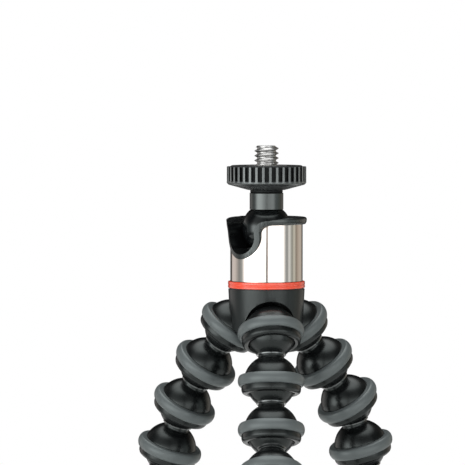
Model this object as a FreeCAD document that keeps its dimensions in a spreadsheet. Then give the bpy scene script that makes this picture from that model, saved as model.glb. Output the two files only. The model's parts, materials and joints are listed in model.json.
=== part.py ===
import FreeCAD
import Part
import Sketcher
import math
import os
import re

from FreeCAD import Placement, Rotation, Vector

# Flexible leg tripod with a small ball head: three legs of ball and socket segments carry a
# hub, and the hub carries a turning ball head with a ribbed thumb dial and a camera screw.
# Lengths are millimetres, angles are degrees, and heights in the head count from the hub's top.

SIZES = {
    # Hub that holds the three top balls
    "hub_top_radius": 10.1,
    "hub_foot_radius": 9.5,
    "hub_height": 12.2,
    "hub_socket_offset": 4.2,
    "hub_socket_depth": 2.5,
    "hub_ball_radius": 2.1,
    "hub_neck_radius": 1.1,
    "hub_link_drop": 9.9,
    "hub_recess_clearance": 0.35,
    "hub_mouth_half_angle": 42,
    "hub_mouth_reach": 3.4,
    "hub_deck_radius": 5.9,
    "hub_post_radius": 3.5,
    # Coloured ring between the hub and the head
    "accent_radius": 10.15,
    "accent_height": 1.8,
    # Steel sleeve round the ball cup
    "sleeve_radius": 9.55,
    "sleeve_wall": 0.8,
    "sleeve_top": 16.8,
    "turning_gap": 0.1,
    # Cup that holds the head's ball
    "cup_rim_radius": 10.66,
    "cup_foot_radius": 9.55,
    "cup_rim_top": 18.7,
    "cup_band_foot": 7.85,
    "cup_floor": 3.2,
    "notch_half_width": 4.75,
    "notch_band": 1.45,
    "notch_flare": 2.2,
    # Ball and stem of the head
    "head_ball_radius": 6.5,
    "stem_radius": 4.45,
    "stem_top": 25.2,
    "spigot_radius": 2.85,
    "spigot_length": 5.3,
    "stem_edge": 0.25,
    # Friction stack under the ball
    "bearing_washer_radius": 4.9,
    "bearing_washer_height": 0.6,
    "pan_bolt_radius": 1.45,
    "pan_bolt_length": 4.6,
    "pan_bolt_head_radius": 2.8,
    "pan_bolt_head_height": 1.5,
    "hex_socket_width": 2.5,
    "spring_disc_height": 1.4,
    "spring_disc_wall": 0.5,
    "pad_radius": 5.1,
    "pad_recess_height": 0.6,
    "pad_floor": 2.0,
    "pad_lip_rise": 1.4,
    # Thumb dial and camera screw
    "dial_radius": 10.5,
    "dial_bevel_radius": 5.0,
    "dial_bevel_height": 1.35,
    "dial_round": 0.5,
    "dial_height": 6.15,
    "dial_groove_width": 1.3,
    "dial_groove_depth": 0.9,
    "dial_lip": 0.1,
    "dial_groove_count": 36,
    "dial_washer_radius": 4.3,
    "dial_washer_height": 0.55,
    "spindle_radius": 1.25,
    "spindle_head_radius": 2.0,
    "spindle_head_height": 1.6,
    "spindle_engagement": 3.2,
    "screw_radius": 3.175,
    "screw_reach": 5.2,
    "screw_flange_gap": 0.6,
    "screw_flange_height": 2.1,
    "dial_rim": 1.1,
    "camera_pad_width": 3.4,
    "camera_pad_height": 0.8,
    "camera_pad_proud": 0.3,
    # Leg segments, measured down from the pivot in each segment's own ball
    "leg_ball_radius": 6.3,
    "leg_ball_flat_radius": 2.6,
    "leg_neck_radius": 3.4,
    "leg_link_drop": 12.1,
    "leg_socket_drop": 0.9,
    "dome_wall": 0.85,
    "dome_drop": 0.3,
    "collar_height": 0.35,
    "collar_radius": 3.9,
    "skirt_step": 0.85,
    "skirt_taper": 0.35,
    "mouth_drop": 3.5,
    "mouth_chamfer": 0.6,
    "grip_wall": 1.8,
    "grip_crown": 0.55,
    "grip_height": 3.0,
    "socket_wall": 0.6,
    # Rubber feet
    "foot_core_drop": 4.6,
    "foot_core_radius": 5.6,
    "foot_pad_height": 7.0,
    "foot_flat_radius": 5.4,
    "foot_round": 3.2,
    "foot_crown": 1.5,
    # Fits
    "running_fit": 0.05,
    "seat_fit": 0.02,
}

# Stance at rest, in degrees: where each leg leaves the hub, which way it then heads, how far
# its first three segments lean, and how the lower segments share out the rest of the lean
HUB_HEADING_ANGLES = {"front": -83.0, "right": 37.0, "left": 157.0}
LEG_HEADING_ANGLES = {"front": -90.0, "right": 30.0, "left": 147.0}
TOP_LEAN_ANGLES = {"front": (28.0, 14.0, 18.0), "right": (38.0, 38.0, 36.0), "left": (38.0, 37.0, 31.0)}
LOWER_LEAN_SHARES = (1.0, 0.95, 0.85, 0.7, 0.5, 0.25)
STANCE_HEIGHT_SHARE = 0.915
NOTCH_HEADING_ANGLE = 223.0
HUB_LEAN_ANGLES = {"front": (25.0, 37.0), "right": (34.0, 47.0), "left": (34.0, 47.0)}

doc = FreeCAD.newDocument("flexible_leg_tripod")
sheet = doc.addObject("Spreadsheet::Sheet", "sizes")
for row, (alias, number) in enumerate(SIZES.items(), start=1):
    sheet.set("A%d" % row, alias)
    sheet.set("B%d" % row, str(number))
    sheet.setAlias("B%d" % row, alias)
doc.recompute()

FUNCTIONS = ("sqrt", "sin", "cos", "tan", "deg")
SUB_PARTS = []


def bound(text):
    """The text of a sum of sizes with every size looked up in the sheet."""
    def look_up(match):
        word = match.group(0)
        return word if word in FUNCTIONS else "sizes." + word
    return re.sub(r"[a-z][a-z_]*", look_up, text)


def value(text):
    """The number that a sum of sizes comes to."""
    return float(sheet.evalExpression(bound(text)))


def keep(sub_part, label):
    """Name a sub-part and list it to be written out."""
    sub_part.Label = label
    SUB_PARTS.append(sub_part)
    return sub_part


def bind(feature, **sums):
    """Bind the properties of a feature to sums of sizes."""
    for name, text in sums.items():
        feature.setExpression(name, bound(text))
    return feature


# Sketched outlines


def plane_of(body, role):
    """One of the body's own origin planes."""
    return next(plane for plane in body.Origin.OriginFeatures if plane.Role == role)


def pin_corner(sketch, curve, end, corner):
    """Tie one corner of an outline to its sums of sizes."""
    for name, axis, text in (("DistanceX", -2, corner[0]), ("DistanceY", -1, corner[1])):
        if text is None:
            continue
        if text == "0":
            sketch.addConstraint(Sketcher.Constraint("PointOnObject", curve, end, axis))
            continue
        rule = Sketcher.Constraint(name, -1, 1, curve, end, value(text))
        sketch.setExpression("Constraints[%d]" % sketch.addConstraint(rule), bound(text))


def corner_points(outline):
    """Where the corners lie, with the radius of a corner on an arc worked out from the arc."""
    points = []
    count = len(outline)
    for index, (radius, height, arc) in enumerate(outline):
        if radius is None:
            centre, bend = arc or outline[index - 1][2]
            rise = value(height) - value(centre)
            points.append(Vector(math.sqrt(value(bend) ** 2 - rise ** 2), value(height), 0))
        else:
            points.append(Vector(value(radius), value(height), 0))
    return [(points[index], points[(index + 1) % count]) for index in range(count)]


def arc_between(start, end, centre, bend):
    """An arc about a point on the axis, and whether it runs backwards along the outline."""
    middle = Vector(0, centre, 0)
    first = math.atan2(start.y - centre, start.x)
    last = math.atan2(end.y - centre, end.x)
    circle = Part.Circle(middle, Vector(0, 0, 1), bend)
    return Part.ArcOfCircle(circle, min(first, last), max(first, last)), last < first


def draw_outline(sketch, outline):
    """Draw a closed half outline of (radius, height, arc to the next corner or None)."""
    ends = []
    for (start, end), (radius, height, arc) in zip(corner_points(outline), outline):
        if arc is None:
            curve = sketch.addGeometry(Part.LineSegment(start, end))
            ends.append((curve, 1, 2))
            continue
        shape, backwards = arc_between(start, end, value(arc[0]), value(arc[1]))
        curve = sketch.addGeometry(shape)
        ends.append((curve, 2, 1) if backwards else (curve, 1, 2))
        pin_corner(sketch, curve, 3, ("0", arc[0]))
        rule = Sketcher.Constraint("Radius", curve, value(arc[1]))
        sketch.setExpression("Constraints[%d]" % sketch.addConstraint(rule), bound(arc[1]))
    for index, (curve, first, last) in enumerate(ends):
        follower = ends[(index + 1) % len(ends)]
        sketch.addConstraint(Sketcher.Constraint("Coincident", curve, last, follower[0], follower[1]))
        radius, height, arc = outline[index]
        on_arc = arc is not None or outline[index - 1][2] is not None
        pin_corner(sketch, curve, first, (radius, None if on_arc and radius == "0" else height))


def turned_body(name, outline):
    """A body turned about its own upright axis from a half outline."""
    body = doc.addObject("PartDesign::Body", name)
    sketch = body.newObject("Sketcher::SketchObject", name + "_outline")
    sketch.AttachmentSupport = [(plane_of(body, "XZ_Plane"), "")]
    sketch.MapMode = "FlatFace"
    draw_outline(sketch, outline)
    turning = body.newObject("PartDesign::Revolution", name + "_turning")
    turning.Profile = sketch
    turning.ReferenceAxis = (sketch, ["V_Axis"])
    turning.Angle = 360
    sketch.Visibility = False
    return body


def ring_outline(inner, outer, bottom, top):
    """The square half outline of a ring or, with no inner radius, of a disc."""
    return [(inner, bottom, None), (outer, bottom, None), (outer, top, None), (inner, top, None)]


# Stance: every segment's pivot and direction at rest


def segment_pitch(number):
    """From one pivot to the next along a segment, the first of which is shorter."""
    drop = "hub_link_drop" if number == 0 else "leg_link_drop"
    return value(drop + " + leg_socket_drop")


def drop_of(leans):
    """How far a leg comes down over its segments with these leans."""
    return sum(segment_pitch(number) * math.cos(math.radians(lean))
               for number, lean in enumerate(leans))


def leans_of(leg):
    """The leans of a leg's segments that bring every foot to the same level."""
    upright = [0.0] * (len(TOP_LEAN_ANGLES[leg]) + len(LOWER_LEAN_SHARES))
    wanted = STANCE_HEIGHT_SHARE * drop_of(upright)
    least, most = 0.0, 60.0
    for _ in range(50):
        lean = (least + most) / 2
        leans = list(TOP_LEAN_ANGLES[leg]) + [share * lean for share in LOWER_LEAN_SHARES]
        if drop_of(leans) > wanted:
            least = lean
        else:
            most = lean
    return leans


def leaning(heading, lean):
    """The turn that leans a hanging piece out towards a heading."""
    return Rotation(Vector(0, 0, 1), heading) * Rotation(Vector(0, 1, 0), -lean)


def chain_of(leg):
    """The place of every segment and of the foot, from the middle of the hub's top."""
    across = value("hub_socket_offset")
    angle = math.radians(HUB_HEADING_ANGLES[leg])
    pivot = Vector(across * math.cos(angle), across * math.sin(angle), -value("hub_socket_depth"))
    places = []
    for number, lean in enumerate(leans_of(leg)):
        heading = HUB_HEADING_ANGLES[leg] if number == 0 else LEG_HEADING_ANGLES[leg]
        turn = leaning(heading, lean)
        places.append(Placement(pivot, turn))
        pivot = pivot + turn.multVec(Vector(0, 0, -segment_pitch(number)))
    places.append(Placement(pivot, leaning(LEG_HEADING_ANGLES[leg], 0.0)))
    return places


CHAINS = {leg: chain_of(leg) for leg in HUB_HEADING_ANGLES}
FEET = [places[-1].Base for places in CHAINS.values()]
HUB_TOP = Vector(
    -(max(foot.x for foot in FEET) + min(foot.x for foot in FEET)) / 2,
    -(max(foot.y for foot in FEET) + min(foot.y for foot in FEET)) / 2,
    -FEET[0].z + value("leg_link_drop + foot_pad_height"))
AT_HUB = Placement(HUB_TOP, Rotation())


# Radii that segments share with their grip rings, the feet and the hub's recesses
HOLLOW = "(leg_ball_radius + running_fit)"
DOME = "(%s + dome_wall)" % HOLLOW
GRIP_SEAT = "(%s + socket_wall)" % HOLLOW
SKIRT = "(%s + skirt_step)" % GRIP_SEAT
GRIP = "(%s + grip_wall)" % GRIP_SEAT
GRIP_EDGE = "(%s - grip_crown)" % GRIP


# Hub: a tapered drum with three swept recesses, ball sockets and mouths


def hub_cutters(leg):
    """Where a first segment's dome and grip ring swing, its ball socket and its mouth."""
    heading = HUB_HEADING_ANGLES[leg]
    lowest, highest = HUB_LEAN_ANGLES[leg]
    angle = math.radians(heading)
    across = value("hub_socket_offset")
    pivot = Vector(across * math.cos(angle), across * math.sin(angle), -value("hub_socket_depth"))
    recess = doc.addObject("Part::Torus", "recess")
    bind(recess, Radius1="hub_link_drop + dome_drop", Radius2="%s + hub_recess_clearance" % DOME)
    recess.Angle1 = -180
    recess.Angle2 = 180
    recess.Angle3 = highest - lowest
    flat = Rotation(Vector(1, 0, 0), 90)
    start = Rotation(Vector(0, 1, 0), 90 - lowest)
    recess.Placement = Placement(pivot, Rotation(Vector(0, 0, 1), heading) * start * flat)
    socket = bind(doc.addObject("Part::Sphere", "ball_socket"), Radius="hub_ball_radius + running_fit")
    socket.Placement = Placement(pivot, Rotation())
    mouth = doc.addObject("Part::Cone", "mouth")
    bind(mouth, Height="hub_mouth_reach", Radius2="hub_mouth_reach * tan(hub_mouth_half_angle * 1deg)")
    mouth.Radius1 = 0
    over = Rotation(Vector(0, 1, 0), 180)
    mouth.Placement = Placement(pivot, leaning(heading, (lowest + highest) / 2) * over)
    ends = []
    for lean in HUB_LEAN_ANGLES[leg]:
        end = bind(doc.addObject("Part::Sphere", "recess_end"), Radius="%s + hub_recess_clearance" % DOME)
        down = Vector(0, 0, -value("hub_link_drop + dome_drop"))
        end.Placement = Placement(pivot + leaning(heading, lean).multVec(down), Rotation())
        ends.append(end)
    for lean in (lowest, (lowest + highest) / 2, highest):
        swing = doc.addObject("Part::Cylinder", "grip_swing")
        bind(swing, Radius="%s + hub_recess_clearance" % GRIP,
             Height="hub_height + grip_height / 2 + hub_recess_clearance")
        turn = leaning(heading, lean)
        down = Vector(0, 0, -value("hub_link_drop + hub_height"))
        swing.Placement = Placement(pivot + turn.multVec(down), turn)
        ends.append(swing)
    return [recess, socket, mouth] + ends


def make_hub():
    """The hub with its deck and the post that the head turns on."""
    blank = turned_body("hub_blank", [
        ("0", "-hub_height", None),
        ("hub_foot_radius", "-hub_height", None),
        ("hub_top_radius", "0", None),
        ("hub_deck_radius", "0", None),
        ("hub_deck_radius", "accent_height", None),
        ("hub_post_radius", "accent_height", None),
        ("hub_post_radius", "accent_height + turning_gap + cup_floor + turning_gap", None),
        ("pan_bolt_radius + running_fit", "accent_height + turning_gap + cup_floor + turning_gap", None),
        ("pan_bolt_radius + running_fit", "accent_height / 2", None),
        ("0", "accent_height / 2", None)])
    cutters = [cutter for leg in HUB_HEADING_ANGLES for cutter in hub_cutters(leg)]
    hollow = doc.addObject("Part::MultiFuse", "hub_hollows")
    hollow.Shapes = cutters
    hub = doc.addObject("Part::Cut", "hub_cut")
    hub.Base = blank
    hub.Tool = hollow
    hub.Placement = AT_HUB
    keep(hub, "base_housing")


def make_accent_ring():
    """The coloured ring that lies on the hub's shoulder."""
    outline = ring_outline("hub_deck_radius + seat_fit", "accent_radius", "0", "accent_height")
    keep(turned_body("accent", outline), "accent_ring").Placement = AT_HUB


# Head: the turning cup and sleeve, and the friction stack under the ball


WASHER_FOOT = "(accent_height + turning_gap + cup_floor + turning_gap)"
WASHER_TOP = "(%s + bearing_washer_height)" % WASHER_FOOT
PAD_FOOT = "(%s + spring_disc_height)" % WASHER_TOP
PAD_SEAT = "(%s + pad_floor)" % PAD_FOOT
BALL_CENTRE = "(%s + running_fit + head_ball_radius)" % PAD_SEAT


def notch_outline(name, edge, flared):
    """A U with its round end down, grown outwards by an edge, whose top corners may flare out."""
    half = "(notch_half_width + %s)" % edge
    centre = "(cup_band_foot + notch_half_width + notch_band)"
    top = "sleeve_top" if flared == "outside" else "cup_rim_top"
    flare = "notch_flare" if flared == "outside" else "(notch_flare + notch_band)"
    sketch = doc.addObject("Sketcher::SketchObject", name)
    wide, low, high, bend = value(half), value(centre), value(top), value(flare)
    up = Vector(0, 0, 1)
    left, right = Vector(-wide, high - bend, 0), Vector(wide, high - bend, 0)
    round_end = Part.ArcOfCircle(Part.Circle(Vector(0, low, 0), up, wide), math.pi, 2 * math.pi)
    right_turn = Part.Circle(Vector(wide + bend, high - bend, 0), up, bend)
    left_turn = Part.Circle(Vector(-wide - bend, high - bend, 0), up, bend)
    sketch.addGeometry(round_end)
    sketch.addGeometry(Part.LineSegment(Vector(wide, low, 0), right))
    sketch.addGeometry(Part.ArcOfCircle(right_turn, math.pi / 2, math.pi))
    sketch.addGeometry(Part.LineSegment(Vector(wide + bend, high, 0), Vector(-wide - bend, high, 0)))
    sketch.addGeometry(Part.ArcOfCircle(left_turn, 0, math.pi / 2))
    sketch.addGeometry(Part.LineSegment(left, Vector(-wide, low, 0)))
    joined = ((0, 2, 1, 1), (1, 2, 2, 2), (2, 1, 3, 1), (3, 2, 4, 2), (4, 1, 5, 1), (5, 2, 0, 1))
    for first, end, second, start in joined:
        sketch.addConstraint(Sketcher.Constraint("Coincident", first, end, second, start))
    pin_corner(sketch, 0, 3, ("0", centre))
    pin_corner(sketch, 1, 1, (half, centre))
    pin_corner(sketch, 5, 2, (None, centre))
    pin_corner(sketch, 1, 2, (half, "%s - %s" % (top, flare)))
    pin_corner(sketch, 5, 1, ("-" + half, "%s - %s" % (top, flare)))
    pin_corner(sketch, 2, 3, ("%s + %s" % (half, flare), "%s - %s" % (top, flare)))
    pin_corner(sketch, 4, 3, ("-%s - %s" % (half, flare), "%s - %s" % (top, flare)))
    pin_corner(sketch, 2, 1, ("%s + %s" % (half, flare), None))
    pin_corner(sketch, 4, 2, ("-%s - %s" % (half, flare), None))
    return sketch


def notch_prism(name, edge, flared):
    """The U pushed out through the wall of the head, from its axis past its rim."""
    sketch = notch_outline(name + "_outline", edge, flared)
    sketch.Placement = Placement(Vector(), Rotation(Vector(0, 0, 1), NOTCH_HEADING_ANGLE + 90)
                                 * Rotation(Vector(1, 0, 0), 90))
    prism = doc.addObject("Part::Extrusion", name)
    prism.Base = sketch
    prism.DirMode = "Normal"
    prism.Solid = True
    bind(prism, LengthFwd="cup_rim_radius + sleeve_wall")
    return prism


def cut(name, base, *tools):
    """One piece less the others."""
    tool = tools[0]
    if len(tools) > 1:
        tool = doc.addObject("Part::MultiFuse", name + "_tools")
        tool.Shapes = list(tools)
    result = doc.addObject("Part::Cut", name)
    result.Base = base
    result.Tool = tool
    return result


def make_cup():
    """The cup: a flanged barrel whose rim runs down round the notch as a raised band."""
    foot = "accent_height + turning_gap"
    blank = turned_body("cup_blank", [
        ("hub_post_radius + running_fit", foot, None),
        ("sleeve_radius - sleeve_wall - running_fit", foot, None),
        ("sleeve_radius - sleeve_wall - running_fit", "cup_band_foot", None),
        ("cup_foot_radius", "cup_band_foot", None),
        ("cup_rim_radius", "cup_rim_top", None),
        ("hub_post_radius + running_fit", "cup_rim_top", None)])
    room = turned_body("sleeve_room", ring_outline(
        "sleeve_radius - sleeve_wall - running_fit", "cup_rim_radius + sleeve_wall", foot, "sleeve_top"))
    trimmed_room = cut("trimmed_room", room, notch_prism("band_prism", "notch_band", "outside"))
    bore = turned_body("cup_bore", ring_outline("0", "pad_radius + running_fit", "%s + cup_floor" % foot,
                                                BALL_CENTRE))
    hollow = bind(doc.addObject("Part::Sphere", "cup_hollow"), Radius="head_ball_radius + running_fit")
    hollow.Placement = Placement(Vector(0, 0, value(BALL_CENTRE)), Rotation())
    cup = cut("cup_cut", blank, trimmed_room, bore, hollow, notch_prism("notch", "0", "inside"))
    cup.Placement = AT_HUB
    keep(cup, "socket_cup")


def make_sleeve():
    """The steel sleeve, cut out round the band of the notch."""
    tube = turned_body("sleeve_tube", ring_outline(
        "sleeve_radius - sleeve_wall", "sleeve_radius", "accent_height + turning_gap",
        "sleeve_top - seat_fit"))
    sleeve = cut("sleeve_cut", tube, notch_prism("sleeve_notch", "notch_band + running_fit", "outside"))
    sleeve.Placement = AT_HUB
    keep(sleeve, "lock_sleeve")


def hex_socket(body, name, width, height, depth):
    """Sink a six-sided socket into the flat top of a turned body."""
    sketch = body.newObject("Sketcher::SketchObject", name + "_socket_outline")
    sketch.AttachmentSupport = [(plane_of(body, "XY_Plane"), "")]
    sketch.MapMode = "FlatFace"
    sketch.AttachmentOffset = Placement(Vector(0, 0, value(height)), Rotation())
    sketch.setExpression("AttachmentOffset.Base.z", bound(height))
    reach = value(width) / math.sqrt(3)
    corners = [Vector(reach * math.cos(math.radians(60 * turn)), reach * math.sin(math.radians(60 * turn)), 0)
               for turn in range(6)]
    guide = sketch.addGeometry(Part.Circle(Vector(), Vector(0, 0, 1), reach), True)
    sketch.addConstraint(Sketcher.Constraint("Coincident", guide, 3, -1, 1))
    rule = sketch.addConstraint(Sketcher.Constraint("Radius", guide, reach))
    sketch.setExpression("Constraints[%d]" % rule, bound("%s / sqrt(3)" % width))
    sides = [sketch.addGeometry(Part.LineSegment(corner, corners[(turn + 1) % 6]))
             for turn, corner in enumerate(corners)]
    for turn, side in enumerate(sides):
        sketch.addConstraint(Sketcher.Constraint("Coincident", side, 2, sides[(turn + 1) % 6], 1))
        sketch.addConstraint(Sketcher.Constraint("PointOnObject", side, 1, guide))
    for side in sides[1:]:
        sketch.addConstraint(Sketcher.Constraint("Equal", sides[0], side))
    sketch.addConstraint(Sketcher.Constraint("PointOnObject", sides[0], 1, -1))
    pocket = body.newObject("PartDesign::Pocket", name + "_socket")
    pocket.Profile = sketch
    pocket.setExpression("Length", bound(depth))
    sketch.Visibility = False
    return body


def make_friction_stack():
    """The washer and bolt that keep the cup on its post, the disc spring and the ball's pad."""
    washer = ring_outline("pan_bolt_radius + running_fit", "bearing_washer_radius", WASHER_FOOT, WASHER_TOP)
    keep(turned_body("washer", washer), "bearing_washer").Placement = AT_HUB
    shank_foot = "(%s - pan_bolt_length)" % WASHER_TOP
    head_top = "(%s + pan_bolt_head_height)" % WASHER_TOP
    bolt = turned_body("pan_bolt_body", [
        ("0", shank_foot, None), ("pan_bolt_radius", shank_foot, None),
        ("pan_bolt_radius", WASHER_TOP, None), ("pan_bolt_head_radius", WASHER_TOP, None),
        ("pan_bolt_head_radius", head_top, None), ("0", head_top, None)])
    hex_socket(bolt, "pan_bolt", "hex_socket_width", head_top, "pan_bolt_head_height / 2")
    keep(bolt, "pan_bolt").Placement = AT_HUB
    spring_inner = "pan_bolt_head_radius + spring_disc_wall"
    spring = turned_body("spring_body", [
        (spring_inner, "%s - spring_disc_wall" % PAD_FOOT, None),
        ("bearing_washer_radius", WASHER_TOP, None),
        ("bearing_washer_radius", "%s + spring_disc_wall" % WASHER_TOP, None),
        (spring_inner, PAD_FOOT, None)])
    keep(spring, "disc_spring").Placement = AT_HUB
    seat = (BALL_CENTRE, "head_ball_radius + running_fit")
    pad_top = "%s + pad_lip_rise" % PAD_SEAT
    pad = turned_body("pad_body", [
        ("0", "%s + pad_recess_height" % PAD_FOOT, None),
        ("pan_bolt_head_radius + running_fit", "%s + pad_recess_height" % PAD_FOOT, None),
        ("pan_bolt_head_radius + running_fit", PAD_FOOT, None),
        ("pad_radius", PAD_FOOT, None),
        ("pad_radius", pad_top, None),
        (None, pad_top, seat),
        ("0", PAD_SEAT, None)])
    keep(pad, "ball_pad").Placement = AT_HUB


# Ball, stem and thumb dial


BALL_FLAT = "(%s + sqrt(head_ball_radius^2 - stem_radius^2))" % BALL_CENTRE
SPIGOT_FOOT = "(%s - spigot_length)" % BALL_FLAT
DIAL_FOOT = "(stem_top + running_fit + dial_washer_height + running_fit)"
DIAL_TOP = "(%s + dial_height)" % DIAL_FOOT
CAMERA_PAD = "(dial_radius - dial_rim)"
SCREW_FLANGE = "(%s - camera_pad_width - screw_flange_gap)" % CAMERA_PAD


def make_ball_and_stem():
    """The head's ball, and the stem whose spigot fills the ball's bore."""
    ball = turned_body("ball_body", [
        ("0", "%s - running_fit" % SPIGOT_FOOT, None),
        ("spigot_radius + seat_fit", "%s - running_fit" % SPIGOT_FOOT, None),
        ("spigot_radius + seat_fit", BALL_FLAT, None),
        (None, BALL_FLAT, (BALL_CENTRE, "head_ball_radius")),
        ("0", "%s - head_ball_radius" % BALL_CENTRE, None)])
    keep(ball, "head_ball").Placement = AT_HUB
    head_seat = "(%s + running_fit + spindle_head_height + running_fit)" % SPIGOT_FOOT
    stem = turned_body("stem_body", [
        ("spindle_head_radius + running_fit", SPIGOT_FOOT, None),
        ("spigot_radius", SPIGOT_FOOT, None),
        ("spigot_radius", BALL_FLAT, None),
        ("stem_radius", BALL_FLAT, None),
        ("stem_radius", "stem_top - stem_edge", None),
        ("stem_radius - stem_edge", "stem_top", None),
        ("spindle_radius + running_fit", "stem_top", None),
        ("spindle_radius + running_fit", head_seat, None),
        ("spindle_head_radius + running_fit", head_seat, None)])
    keep(stem, "stem").Placement = AT_HUB
    head_foot = "(%s + running_fit)" % SPIGOT_FOOT
    head_top = "(%s + spindle_head_height)" % head_foot
    spindle_top = "(%s + spindle_engagement)" % DIAL_FOOT
    spindle = turned_body("spindle_body", [
        ("0", head_foot, None), ("spindle_head_radius", head_foot, None),
        ("spindle_head_radius", head_top, None), ("spindle_radius", head_top, None),
        ("spindle_radius", spindle_top, None), ("0", spindle_top, None)])
    keep(spindle, "spindle_bolt").Placement = AT_HUB
    washer = ring_outline("spindle_radius + running_fit", "dial_washer_radius", "stem_top + running_fit",
                          "stem_top + running_fit + dial_washer_height")
    keep(turned_body("dial_washer_body", washer), "dial_washer").Placement = AT_HUB


def groove_outline(body, name):
    """The square outline of one groove of the dial, seen from above."""
    sketch = body.newObject("Sketcher::SketchObject", name)
    sketch.AttachmentSupport = [(plane_of(body, "XY_Plane"), "")]
    sketch.MapMode = "FlatFace"
    sketch.setExpression("AttachmentOffset.Base.z", bound(DIAL_TOP))
    near, far = "dial_radius - dial_groove_depth", "dial_radius + dial_groove_depth"
    low, high = "-dial_groove_width / 2", "dial_groove_width / 2"
    corners = [(near, low), (far, low), (far, high), (near, high)]
    points = [Vector(value(across), value(along), 0) for across, along in corners]
    for index in range(4):
        sketch.addGeometry(Part.LineSegment(points[index], points[(index + 1) % 4]))
    for index in range(4):
        sketch.addConstraint(Sketcher.Constraint("Coincident", index, 2, (index + 1) % 4, 1))
        pin_corner(sketch, index, 1, corners[index])
    return sketch


def make_dial():
    """The ribbed thumb dial, with a stepped bore for the camera screw."""
    flange_top = "%s + camera_pad_proud" % DIAL_TOP
    flange_foot = "(%s - screw_flange_height)" % flange_top
    pad_foot = "%s - camera_pad_height" % flange_top
    dial = turned_body("dial_body", [
        ("screw_radius + seat_fit", DIAL_FOOT, None),
        ("dial_bevel_radius", DIAL_FOOT, None),
        ("dial_radius - dial_round", "%s + dial_bevel_height" % DIAL_FOOT, None),
        ("dial_radius", "%s + dial_bevel_height + dial_round" % DIAL_FOOT, None),
        ("dial_radius", DIAL_TOP, None),
        ("%s + seat_fit" % CAMERA_PAD, DIAL_TOP, None),
        ("%s + seat_fit" % CAMERA_PAD, pad_foot, None),
        ("%s + seat_fit" % SCREW_FLANGE, pad_foot, None),
        ("%s + seat_fit" % SCREW_FLANGE, flange_foot, None),
        ("screw_radius + seat_fit", flange_foot, None)])
    groove = dial.newObject("PartDesign::Pocket", "dial_groove")
    groove.Profile = groove_outline(dial, "dial_groove_outline")
    bind(groove, Length="dial_height - dial_bevel_height - dial_round - dial_lip")
    grooves = dial.newObject("PartDesign::PolarPattern", "dial_grooves")
    grooves.Originals = [groove]
    grooves.Axis = (groove.Profile[0], ["N_Axis"])
    grooves.Angle = 360
    bind(grooves, Occurrences="dial_groove_count")
    dial.Tip = grooves
    keep(dial, "thumb_dial").Placement = AT_HUB
    camera_pad = ring_outline("%s - camera_pad_width" % CAMERA_PAD, CAMERA_PAD, pad_foot, flange_top)
    keep(turned_body("camera_pad_body", camera_pad), "camera_pad").Placement = AT_HUB
    spindle_room = "(%s + spindle_engagement + running_fit)" % DIAL_FOOT
    screw_top = "%s + camera_pad_proud + screw_reach" % DIAL_TOP
    screw = turned_body("screw_body", [
        ("0", spindle_room, None),
        ("spindle_radius + seat_fit", spindle_room, None),
        ("spindle_radius + seat_fit", DIAL_FOOT, None),
        ("screw_radius", DIAL_FOOT, None),
        ("screw_radius", flange_foot, None),
        (SCREW_FLANGE, flange_foot, None),
        (SCREW_FLANGE, flange_top, None),
        ("screw_radius", flange_top, None),
        ("screw_radius", "%s - stem_edge" % screw_top, None),
        ("screw_radius - stem_edge", screw_top, None),
        ("0", screw_top, None)])
    keep(screw, "camera_screw").Placement = AT_HUB


# Leg segments


def link_top_outline(drop, ball, flat, neck, collar):
    """The ball, collar, neck and dome of a segment, down to the seat of its grip ring."""
    ball_top = "sqrt(%s^2 - %s^2)" % (ball, flat)
    ball_foot = "-sqrt(%s^2 - %s^2)" % (ball, collar)
    dome_centre = "-%s - dome_drop" % drop
    dome_top = "%s + sqrt(%s^2 - %s^2)" % (dome_centre, DOME, neck)
    collar_corners = [] if collar == neck else [
        (collar, "%s - collar_height" % ball_foot, None), (neck, "%s - collar_height" % ball_foot, None)]
    return [
        ("0", ball_top, None),
        (None, ball_top, ("0", ball)),
        (None, ball_foot, None),
        *collar_corners,
        (None, dome_top, (dome_centre, DOME)),
        (None, "-%s + grip_height / 2" % drop, None)]


def moulding_outline(drop, ball, flat, neck, collar):
    """The whole half outline of a segment: ball, neck, dome, skirt, mouth and socket."""
    socket = "-%s - leg_socket_drop" % drop
    mouth = "-%s - mouth_drop" % drop
    ring_foot = "-%s - grip_height / 2" % drop
    return link_top_outline(drop, ball, flat, neck, collar) + [
        ("%s - seat_fit" % GRIP_SEAT, "-%s + grip_height / 2" % drop, None),
        ("%s - seat_fit" % GRIP_SEAT, ring_foot, None),
        (SKIRT, ring_foot, None),
        (SKIRT, "%s + mouth_chamfer" % mouth, None),
        ("%s - skirt_taper" % SKIRT, mouth, None),
        (HOLLOW, mouth, None),
        (None, "%s + mouth_chamfer" % mouth, (socket, HOLLOW)),
        ("0", "%s + %s" % (socket, HOLLOW), None)]


def grip_outline(drop):
    """The half outline of a rubber grip ring, crowned in the middle."""
    top, foot = "-%s + grip_height / 2" % drop, "-%s - grip_height / 2" % drop
    return [
        (GRIP_SEAT, foot, None),
        (GRIP_EDGE, foot, None),
        (GRIP, "%s + grip_height / 4" % foot, None),
        (GRIP, "%s - grip_height / 4" % top, None),
        (GRIP_EDGE, top, None),
        (GRIP_SEAT, top, None)]


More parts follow.
